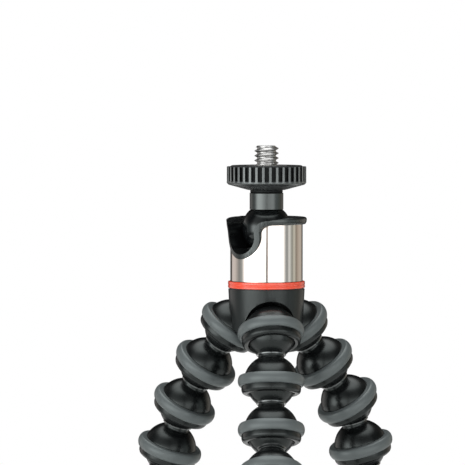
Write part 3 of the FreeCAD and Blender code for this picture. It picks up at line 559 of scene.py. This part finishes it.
spigot_side, spigot_end = SPIGOT_RADIUS - SPIGOT_PLAY, SPIGOT_FOOT + SPIGOT_GAP
stem_seat, stem_face = stem_foot + STEM_SEAT_GAP, STEM_RADIUS - STEM_CHAMFER
stem = spun("stem_post", [
    (SPINDLE_HEAD_ROOM, spigot_end), (spigot_side, spigot_end), (spigot_side, stem_seat),
    (stem_face, stem_seat), (STEM_RADIUS, stem_foot + STEM_CHAMFER),
    (STEM_RADIUS, STEM_TOP - STEM_CHAMFER), (stem_face, STEM_TOP), (SPINDLE_ROOM, STEM_TOP),
    (SPINDLE_ROOM, SPINDLE_SEAT), (SPINDLE_HEAD_ROOM, SPINDLE_SEAT),
    (SPINDLE_HEAD_ROOM, spigot_end)])
finish_mesh(stem, STEM_EDGE, sharp=35, rounds=2)
stem.data.transform(ON_HUB)
dark_anodised = metal("dark_anodised_aluminium", STEM_COLOUR, roughness=0.3, marks=2400,
                      stretch=(0.05, 0.05, 4), depth=0.0015, streaks=0.08)
dress(stem, dark_anodised, "ball_and_stem", "stem")

# The thumb dial. A knob of black nylon that turns freely under the camera: thirty-six grooves
# run down its rim and slope out at their foot, painted darker as shade, the ribs between them are
# painted paler as a highlight, and a shallow cone leads in to the stem.
DIAL_COLOUR, GROOVE_SHADE_COLOUR = (0.032, 0.0345, 0.035), (0.003, 0.003, 0.0035)
# Painted highlight: the ribs' paler colour
RIB_HIGHLIGHT_COLOUR = (0.12, 0.127, 0.127)
DIAL_RADIUS, DIAL_FOOT, DIAL_TOP, DIAL_EDGE = 10.5, 25.85, 32.0, 0.09
DIAL_CONE_RADIUS, DIAL_CONE_TOP, DIAL_ROUND = 5.0, 27.2, 0.5
GROOVE_COUNT, GROOVE_WIDTH, GROOVE_DEPTH, GROOVE_FOOT, GROOVE_SLOPE = 36, 1.15, 0.9, 28.05, 0.25
STEPS_PER_GROOVE = 4
# How near to a groove's floor or to the rim a face may lie for its painted shade or highlight, and
# how far it may tip
GROOVE_MARGIN, RIB_MARGIN, STEEP = 0.1, 0.12, 0.5
PAD_SEAT, PAD_SEAT_RADIUS, SCREW_SEAT, SCREW_SEAT_RADIUS, SCREW_BORE = 31.5, 9.42, 30.2, 5.42, 3.2

dial = spun("ribbed_dial", [
    (SCREW_BORE, DIAL_FOOT), (DIAL_CONE_RADIUS, DIAL_FOOT),
    (DIAL_RADIUS - DIAL_ROUND, DIAL_CONE_TOP), (DIAL_RADIUS, DIAL_CONE_TOP + DIAL_ROUND),
    (DIAL_RADIUS, DIAL_TOP), (PAD_SEAT_RADIUS, DIAL_TOP), (PAD_SEAT_RADIUS, PAD_SEAT),
    (SCREW_SEAT_RADIUS, PAD_SEAT), (SCREW_SEAT_RADIUS, SCREW_SEAT), (SCREW_BORE, SCREW_SEAT),
    (SCREW_BORE, DIAL_FOOT)], GROOVE_COUNT * STEPS_PER_GROOVE)
groove_floor, groove_end = DIAL_RADIUS - GROOVE_DEPTH, DIAL_RADIUS + SPARE
grooves = prism("groove_tool", [
    (groove_floor, GROOVE_FOOT + GROOVE_SLOPE), (groove_end, GROOVE_FOOT - GROOVE_SLOPE),
    (groove_end, DIAL_TOP + SPARE), (groove_floor, DIAL_TOP + SPARE)], GROOVE_WIDTH)
grooves.data.transform(Matrix.Translation((0, -GROOVE_WIDTH / 2 * MM, 0)))
pick(grooves)
bpy.ops.object.mode_set(mode="EDIT")
bpy.ops.mesh.select_all(action="SELECT")
bpy.ops.mesh.spin(steps=GROOVE_COUNT - 1, dupli=True, angle=math.tau * (1 - 1 / GROOVE_COUNT),
                  center=(0, 0, 0), axis=(0, 0, 1))
turn_faces_out()
combine(dial, grooves)
finish_mesh(dial, DIAL_EDGE, sharp=32, rounds=2)
dial.data.transform(ON_HUB)
dial_plastic = moulded("black_nylon", DIAL_COLOUR, roughness=0.28, grain=0.14, depth=0.005,
                       wear=0.15, specular=0.9)
groove_shade_plastic = moulded("black_nylon_grooves_painted_shade", GROOVE_SHADE_COLOUR, roughness=0.6, grain=0.14,
                         depth=0.004, wear=0.1, specular=0.25)
rib_highlight_plastic = moulded("black_nylon_ribs_painted_highlight", RIB_HIGHLIGHT_COLOUR, roughness=0.3, grain=0.14,
                      depth=0.005, wear=0.25, specular=0.9)
dress(dial, dial_plastic, "dial", "thumb_dial")
dial.data.materials.append(groove_shade_plastic)
dial.data.materials.append(rib_highlight_plastic)
# Painted shade: faces in the grooves get the darker groove finish; painted highlight: faces at the
# rim get the paler rib finish
for face in dial.data.polygons:
    reach = math.hypot(face.center.x - HUB_TOP.x, face.center.y - HUB_TOP.y) / MM
    height = (face.center.z - HUB_TOP.z) / MM
    if (height > GROOVE_FOOT + GROOVE_SLOPE and abs(face.normal.z) < STEEP
            and reach > groove_floor - GROOVE_MARGIN):
        face.material_index = 2 if reach > DIAL_RADIUS - RIB_MARGIN else 1
# Painted shade: the washer under the dial takes the grooves' darker finish
finish_solid("dial_washer", groove_shade_plastic)

# The camera pad. A ring of soft black rubber let into the top of the dial, with fine raised
# rounds that grip the camera's base.
PAD_INNER, PAD_OUTER, PAD_TOP, PAD_EDGE = 6.0, 9.4, 32.3, 0.04
PAD_ROUNDS, PAD_ROUND_DEPTH, PAD_MARGIN, PAD_SIDE = 5, 0.18, 0.2, 0.1
# Where a round's top and slope and the valley beside it end, as shares of a round's width
ROUND_TOP, ROUND_SLOPE, ROUND_VALLEY = 0.55, 0.65, 0.9
PAD_COLOUR = (0.02, 0.02, 0.021)
pad_face = []
pad_step = (PAD_OUTER - PAD_INNER - 2 * PAD_MARGIN) / PAD_ROUNDS
for count in range(PAD_ROUNDS):
    outer = PAD_OUTER - PAD_MARGIN - count * pad_step
    pad_face += [(outer, PAD_TOP), (outer - pad_step * ROUND_TOP, PAD_TOP),
                 (outer - pad_step * ROUND_SLOPE, PAD_TOP - PAD_ROUND_DEPTH),
                 (outer - pad_step * ROUND_VALLEY, PAD_TOP - PAD_ROUND_DEPTH)]
camera_rubber = spun("camera_rubber_pad", [
    (PAD_INNER, PAD_SEAT), (PAD_OUTER, PAD_SEAT), (PAD_OUTER, PAD_TOP - PAD_SIDE)] + pad_face
    + [(PAD_INNER, PAD_TOP - PAD_SIDE), (PAD_INNER, PAD_SEAT)])
finish_mesh(camera_rubber, PAD_EDGE, sharp=40, rounds=2)
camera_rubber.data.transform(ON_HUB)
black_rubber = moulded("black_rubber", PAD_COLOUR, roughness=0.62, grain=0.12, depth=0.01,
                       wear=0.2, specular=0.35)
dress(camera_rubber, black_rubber, "dial", "camera_pad")

# The camera screw. Plated steel with a broad collar and a quarter-inch thread of twenty turns to
# the inch, its tip chamfered, held from below by the spindle bolt that comes up through the stem.
SCREW_RADIUS, SCREW_ROOT, SCREW_FOOT, SCREW_TOP, SCREW_TIP = 3.175, 2.5, 29.05, 37.5, 0.3
SCREW_COLLAR, SCREW_EDGE, SCREW_STEPS = 5.4, 0.1, 64
THREAD_PITCH, THREAD_TURNS, THREAD_SINK = 1.27, 6, 0.3
# Heights in one turn of the thread: its root below, both sides of its crest, its root above
RIDGE_FOOT, CREST_FOOT, CREST_TOP, RIDGE_TOP = 0.02, 0.56, 0.71, 1.25
# The room that the thread is trimmed to: its play, and where its cones start and end
TRIM_PLAY, TRIM_START, TRIM_CHAMFER, TRIM_END = 0.1, 0.6, 0.75, 0.02

screw = spun("camera_screw_turned", [
    (0, SCREW_FOOT), (SCREW_RADIUS, SCREW_FOOT), (SCREW_RADIUS, SCREW_SEAT),
    (SCREW_COLLAR, SCREW_SEAT), (SCREW_COLLAR, PAD_TOP), (SCREW_ROOT, PAD_TOP),
    (SCREW_ROOT, SCREW_TOP - SCREW_TIP), (SCREW_ROOT - SCREW_TIP, SCREW_TOP), (0, SCREW_TOP)],
    SCREW_STEPS)
finish_mesh(screw, SCREW_EDGE, sharp=40, rounds=2)
ridge = [(SCREW_ROOT - THREAD_SINK, RIDGE_FOOT), (SCREW_RADIUS, CREST_FOOT),
         (SCREW_RADIUS, CREST_TOP), (SCREW_ROOT - THREAD_SINK, RIDGE_TOP)]
thread = drawn("screw_thread", ridge + ridge[:1])
bpy.ops.mesh.remove_doubles(threshold=FINE_WELD * MM)
bpy.ops.object.mode_set(mode="OBJECT")
winding = thread.modifiers.new("winding", "SCREW")
winding.axis = "Z"
winding.angle = math.tau
winding.screw_offset = THREAD_PITCH * MM
winding.iterations = THREAD_TURNS
winding.steps = winding.render_steps = SCREW_STEPS
winding.use_merge_vertices = True
bpy.ops.object.modifier_apply(modifier=winding.name)
bpy.ops.object.mode_set(mode="EDIT")
bpy.ops.mesh.select_all(action="SELECT")
bpy.ops.mesh.fill_holes(sides=0)
turn_faces_out()
thread.data.transform(Matrix.Translation((0, 0, (PAD_TOP - THREAD_PITCH) * MM)))
trim_radius, trim_top = SCREW_RADIUS + TRIM_PLAY, SCREW_TOP - TRIM_END
envelope = spun("thread_envelope", [
    (0, PAD_TOP - TRIM_PLAY), (SCREW_ROOT, PAD_TOP - TRIM_PLAY),
    (trim_radius, PAD_TOP + TRIM_START), (trim_radius, SCREW_TOP - TRIM_CHAMFER),
    (SCREW_ROOT - TRIM_PLAY, trim_top), (0, trim_top)], SCREW_STEPS)
combine(thread, envelope, "INTERSECT")
combine(screw, thread, "UNION")
bpy.ops.object.shade_smooth_by_angle(angle=math.radians(SMOOTH))
screw.data.transform(ON_HUB)
dress(screw, plated_steel, "dial", "camera_screw")
finish_solid("spindle_bolt", plated_steel)

# The leg segments. Each is one moulding of black nylon: a ball that snaps into the segment above,
# a neck with a polished collar painted lighter as a highlight, a dome, and a skirt whose rounded
# mouth holds the next ball. A ring of grey rubber sits in its groove. The first segment of a leg
# has a smaller ball and neck.
LEG_COLOUR, COLLAR_HIGHLIGHT_COLOUR = (0.0035, 0.004, 0.0043), (0.02, 0.022, 0.0225)
GRIP_COLOUR = (0.1, 0.114, 0.115)
LEG_BALL, LEG_FLAT, LEG_NECK, LEG_DROP = 6.3, 2.6, 3.4, 12.1
HUB_BALL, HUB_FLAT, HUB_NECK, HUB_DROP = 2.1, 1.1, 1.1, 9.9
SOCKET_DROP, SOCKET_RADIUS, MOUTH_DROP, SOCKET_ENTRY = 0.9, 6.35, 3.5, 0.5
DOME_RADIUS, DOME_DROP = 7.2, 0.3
COLLAR_RADIUS, COLLAR_HEIGHT, COLLAR_FILLET = 3.9, 0.35, 0.18
# The small rounds where the neck meets its collar and the dome
NECK_ROUND, NECK_ROUND_HEIGHT, DOME_FILLET, DOME_FILLET_HEIGHT = 0.1, 0.08, 0.3, 0.25
# The skirt and its rounded mouth from the outside in: radius, and height over the mouth
SKIRT_RADIUS = 7.8
SKIRT_MOUTH = ((SKIRT_RADIUS, 1.15), (7.7, 0.7), (7.47, 0.3), (7.1, 0.05), (6.75, 0), (6.4, 0),
               (6.2, 0.1))
GRIP_SEAT, GRIP_HALF, GRIP_PLAY = 6.93, 1.5, 0.02
GRIP_FACE, GRIP_CROWN, GRIP_CROWN_RADIUS, GRIP_CROWN_ANGLE = 8.75, 0.55, 2.32, 33
GRIP_CORNER_IN, GRIP_CORNER_OUT, GRIP_CORNER_HEIGHT = 0.2, 0.03, 0.09
# How far the polish and its painted highlight reach below the collar's foot and above its top
COLLAR_BELOW, COLLAR_ABOVE = 0.3, 0.06
SEGMENT_EDGE, SEGMENT_STEPS = 0.1, 72
LEGS, SEGMENTS = ("front", "right", "left"), 9


def segment_top(ball_radius, flat, neck, drop):
    """The half outline of a segment from the top of its ball down to the seat of its grip."""
    dome = -drop - DOME_DROP
    collared = ball_radius == LEG_BALL
    ball_top = math.degrees(math.acos(flat / ball_radius))
    ball_foot = -math.degrees(math.acos((COLLAR_RADIUS if collared else neck) / ball_radius))
    dome_top = math.degrees(math.acos((neck + DOME_FILLET) / DOME_RADIUS))
    dome_foot = math.degrees(math.asin((DOME_DROP + GRIP_HALF) / DOME_RADIUS))
    points = [(0, ball_radius * math.sin(math.radians(ball_top)))]
    points += arc((0, 0), ball_radius, ball_top, ball_foot, 22)
    if collared:
        side, foot = points[-1][0], points[-1][1] - COLLAR_HEIGHT
        points += [(side, foot), (neck + NECK_ROUND, foot - NECK_ROUND_HEIGHT),
                   (neck, foot - COLLAR_FILLET)]
    top_of_dome = dome + DOME_RADIUS * math.sin(math.radians(dome_top))
    points += [(neck, top_of_dome + DOME_FILLET_HEIGHT),
               (neck + NECK_ROUND, top_of_dome + NECK_ROUND_HEIGHT)]
    return points + arc((0, dome), DOME_RADIUS, dome_top, dome_foot, 14)


def segment_outline(ball_radius, flat, neck, drop):
    """The whole half outline of a segment's moulding."""
    socket, mouth = -drop - SOCKET_DROP, -drop - MOUTH_DROP
    inside = math.degrees(math.asin((socket - mouth - SOCKET_ENTRY) / SOCKET_RADIUS))
    return (segment_top(ball_radius, flat, neck, drop)
            + [(GRIP_SEAT, -drop + GRIP_HALF), (GRIP_SEAT, -drop - GRIP_HALF),
               (SKIRT_RADIUS, -drop - GRIP_HALF)]
            + [(radius, mouth + height) for radius, height in SKIRT_MOUTH]
            + arc((0, socket), SOCKET_RADIUS, -inside, 90, 24))


def grip_outline(drop):
    """The closed half outline of a grip ring: flat sides, a crowned face and small corners."""
    seat, side = GRIP_SEAT + GRIP_PLAY, GRIP_HALF - GRIP_PLAY
    corner = GRIP_FACE - GRIP_CROWN
    inner, outer, height = corner - GRIP_CORNER_IN, corner + GRIP_CORNER_OUT, GRIP_CORNER_HEIGHT
    crown = arc((GRIP_FACE - GRIP_CROWN_RADIUS, -drop), GRIP_CROWN_RADIUS, -GRIP_CROWN_ANGLE,
                GRIP_CROWN_ANGLE, 14)
    return ([(seat, -drop - side), (inner, -drop - side), (outer, -drop - side + height)] + crown
            + [(outer, -drop + side - height), (inner, -drop + side), (seat, -drop + side),
               (seat, -drop - side)])


leg_plastic = moulded("leg_nylon", LEG_COLOUR, roughness=0.26, grain=0.15, depth=0.005, wear=0.12,
                      specular=0.47)
collar_highlight_plastic = moulded("polished_collar_nylon_painted_highlight", COLLAR_HIGHLIGHT_COLOUR, roughness=0.16, grain=0.15,
                         depth=0.002, wear=0.12, specular=1.0, coat=1.0)
grip_rubber = moulded("grey_grip_rubber", GRIP_COLOUR, roughness=0.36, grain=0.1, depth=0.008,
                      wear=0.08, specular=0.5)
patterns = {}
for kind, sizes in (("first", (HUB_BALL, HUB_FLAT, HUB_NECK, HUB_DROP)),
                    ("lower", (LEG_BALL, LEG_FLAT, LEG_NECK, LEG_DROP))):
    moulding = spun(kind + "_moulding", segment_outline(*sizes), SEGMENT_STEPS)
    finish_mesh(moulding, SEGMENT_EDGE, sharp=40, rounds=2)
    grip = finish_mesh(spun(kind + "_grip", grip_outline(sizes[3]), SEGMENT_STEPS))
    patterns[kind] = (moulding, grip)
collar_top = -math.sqrt(LEG_BALL ** 2 - COLLAR_RADIUS ** 2)
collar_highlight_faces = [face.index for face in patterns["lower"][0].data.polygons
                if -COLLAR_HEIGHT - COLLAR_BELOW < face.center.z / MM - collar_top < COLLAR_ABOVE]

pivots = {joint["name"]: Vector(joint["pos_m"]) for joint in frame["joints"]}
for leg in LEGS:
    for number in range(1, SEGMENTS + 1):
        pivot = pivots["%s_leg_joint_%d" % (leg, number)]
        following = pivots["%s_leg_joint_%d" % (leg, number + 1)]
        hang = (pivot - following).to_track_quat("Z", "Y").to_matrix().to_4x4()
        node = "leg_%s_segment_%d" % (leg, number)
        body = "%s_leg_segment_%d" % (leg, number)
        for pattern, ending, finish, slot in zip(
                patterns["first" if number == 1 else "lower"], ("moulding", "grip"),
                (leg_plastic, grip_rubber), ("leg_plastic", "foot_rubber")):
            piece = copy_of(pattern, "%s_%s" % (node, ending), Matrix.Translation(pivot) @ hang)
            dress(piece, finish, body, node)
            if number > 1 and ending == "moulding":
                # Painted highlight: the collar's faces get a lighter colour, besides their real
                # gloss
                piece.data.materials.append(collar_highlight_plastic)
                for index in collar_highlight_faces:
                    piece.data.polygons[index].material_index = 1
for pattern in [*patterns["first"], *patterns["lower"]]:
    bpy.data.objects.remove(pattern)

# The feet. Each leg ends in a short nylon segment whose core is pressed into a foot of grey rubber
# with a flat sole and a rounded rim, so that it grips whatever it stands on.
CORE_RADIUS, CORE_DROP, CORE_PLAY = 5.6, 4.6, 0.02
FOOT_HEIGHT, FOOT_RADIUS, FOOT_SHOULDER, FOOT_EDGE = 7.0, 8.75, 0.85, 0.12
# The foot's side from the middle of the sole up: radius, and height over the ground
FOOT_SIDE = ((0, 0), (5.4, 0), (6.3, 0.3), (7.0, 0.85), (7.7, 1.9), (8.2, 3.2), (8.2, 3.35),
             (7.95, 3.5), (7.95, 3.75), (8.3, 3.95), (8.6, 4.6), (FOOT_RADIUS, 5.6))
core_top, core_foot, ground = -LEG_DROP + GRIP_HALF, -LEG_DROP - CORE_DROP, -LEG_DROP - FOOT_HEIGHT
shoulder = (FOOT_RADIUS - FOOT_SHOULDER, core_top - FOOT_SHOULDER)

foot_core = spun("foot_core_pattern", segment_top(LEG_BALL, LEG_FLAT, LEG_NECK, LEG_DROP) + [
    (CORE_RADIUS, core_top), (CORE_RADIUS, core_foot), (0, core_foot)], SEGMENT_STEPS)
finish_mesh(foot_core, SEGMENT_EDGE, sharp=40, rounds=2)
foot_pad = spun("foot_pad_pattern", [(radius, ground + height) for radius, height in FOOT_SIDE]
                + arc(shoulder, FOOT_SHOULDER, 0, 90, 7)
                + [(CORE_RADIUS + CORE_PLAY, core_top),
                   (CORE_RADIUS + CORE_PLAY, core_foot - CORE_PLAY), (0, core_foot - CORE_PLAY)],
                SEGMENT_STEPS)
finish_mesh(foot_pad, FOOT_EDGE, sharp=35, rounds=2)
for leg in LEGS:
    ankle = Matrix.Translation(pivots["%s_leg_joint_%d" % (leg, SEGMENTS + 1)])
    for pattern, ending, finish, slot in ((foot_core, "core", leg_plastic, "leg_plastic"),
                                          (foot_pad, "pad", grip_rubber, "foot_rubber")):
        node = "leg_%s_foot_%s" % (leg, ending)
        piece = copy_of(pattern, node + "_moulded", ankle)
        dress(piece, finish, "%s_leg_foot" % leg, node)
bpy.data.objects.remove(foot_core)
bpy.data.objects.remove(foot_pad)
